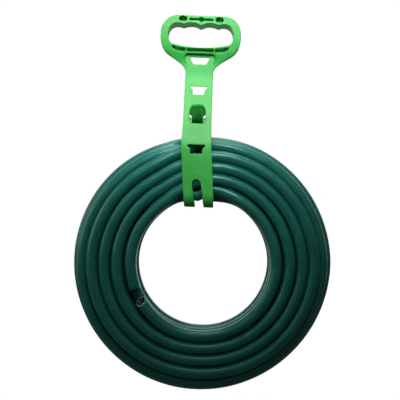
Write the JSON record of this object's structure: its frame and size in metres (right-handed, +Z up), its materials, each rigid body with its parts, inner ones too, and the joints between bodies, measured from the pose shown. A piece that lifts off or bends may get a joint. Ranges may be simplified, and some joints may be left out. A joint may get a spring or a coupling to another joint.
{
  "type": "garden hose coil",
  "caption": "Coil of green braided garden hose held by a bright green plastic carrying strap with a grip handle.",
  "frame": {"origin": "hang point: the middle of the underside of the grip's top bar, half-way through the grip", "axes": "+Z up, -Y the front where the strap's slots and the cut hose ends show, +X to the viewer's right"},
  "size_m": [0.3352, 0.0734, 0.5023],
  "materials": {
    "strap": "bright green polypropylene, satin",
    "hose_cover": "clear-coated dark green PVC, glossy",
    "yarn": "diagonal reinforcing yarn",
    "liner": "dark green PVC, smooth"
  },
  "bodies": {
    "grip": {"grip_handle": "strap", "neck_web": "strap"},
    "strap": {"front_strap": "strap", "left_leg": "strap", "right_leg": "strap"},
    "tail": {"rear_strap": "strap", "tongue": "strap"},
    "coil": {"outer_turns": "hose_cover", "inner_turns": "hose_cover", "leading_turn": "hose_cover"},
    "upper_end": {"upper_end_cover": "hose_cover", "upper_end_braid": "yarn", "upper_end_liner": "liner"},
    "lower_end": {"lower_end_cover": "hose_cover", "lower_end_braid": "yarn", "lower_end_liner": "liner"}
  },
  "joints": [
    {"name": "neck_flex", "type": "hinge", "parent": "grip", "child": "strap", "pos_m": [-0.00273, -0.0005, -0.06795], "axis": [0.9992, 0, -0.0401], "range_deg": [-75, 75], "deforming": ["neck_web"]},
    {"name": "tail_open", "type": "hinge", "parent": "strap", "child": "tail", "pos_m": [-0.0035, 0, -0.24], "axis": [-1, 0, 0], "range_deg": [0, 110], "deforming": ["left_leg", "right_leg", "tongue"]},
    {"name": "coil_turn", "type": "hinge", "parent": "strap", "child": "coil", "pos_m": [0, 0, -0.32], "axis": [0, -1, 0], "continuous": true},
    {"name": "upper_end_swing", "type": "hinge", "parent": "coil", "child": "upper_end", "pos_m": [-0.06924, -0.029, -0.25438], "axis": [0.7258, 0, -0.6879], "range_deg": [-40, 0], "stiffness_Nm_per_rad": 0.2},
    {"name": "lower_end_swing", "type": "hinge", "parent": "coil", "child": "lower_end", "pos_m": [0.00643, -0.029, -0.41518], "axis": [0.0674, 0, -0.9977], "range_deg": [-40, 0], "stiffness_Nm_per_rad": 0.2}
  ]
}
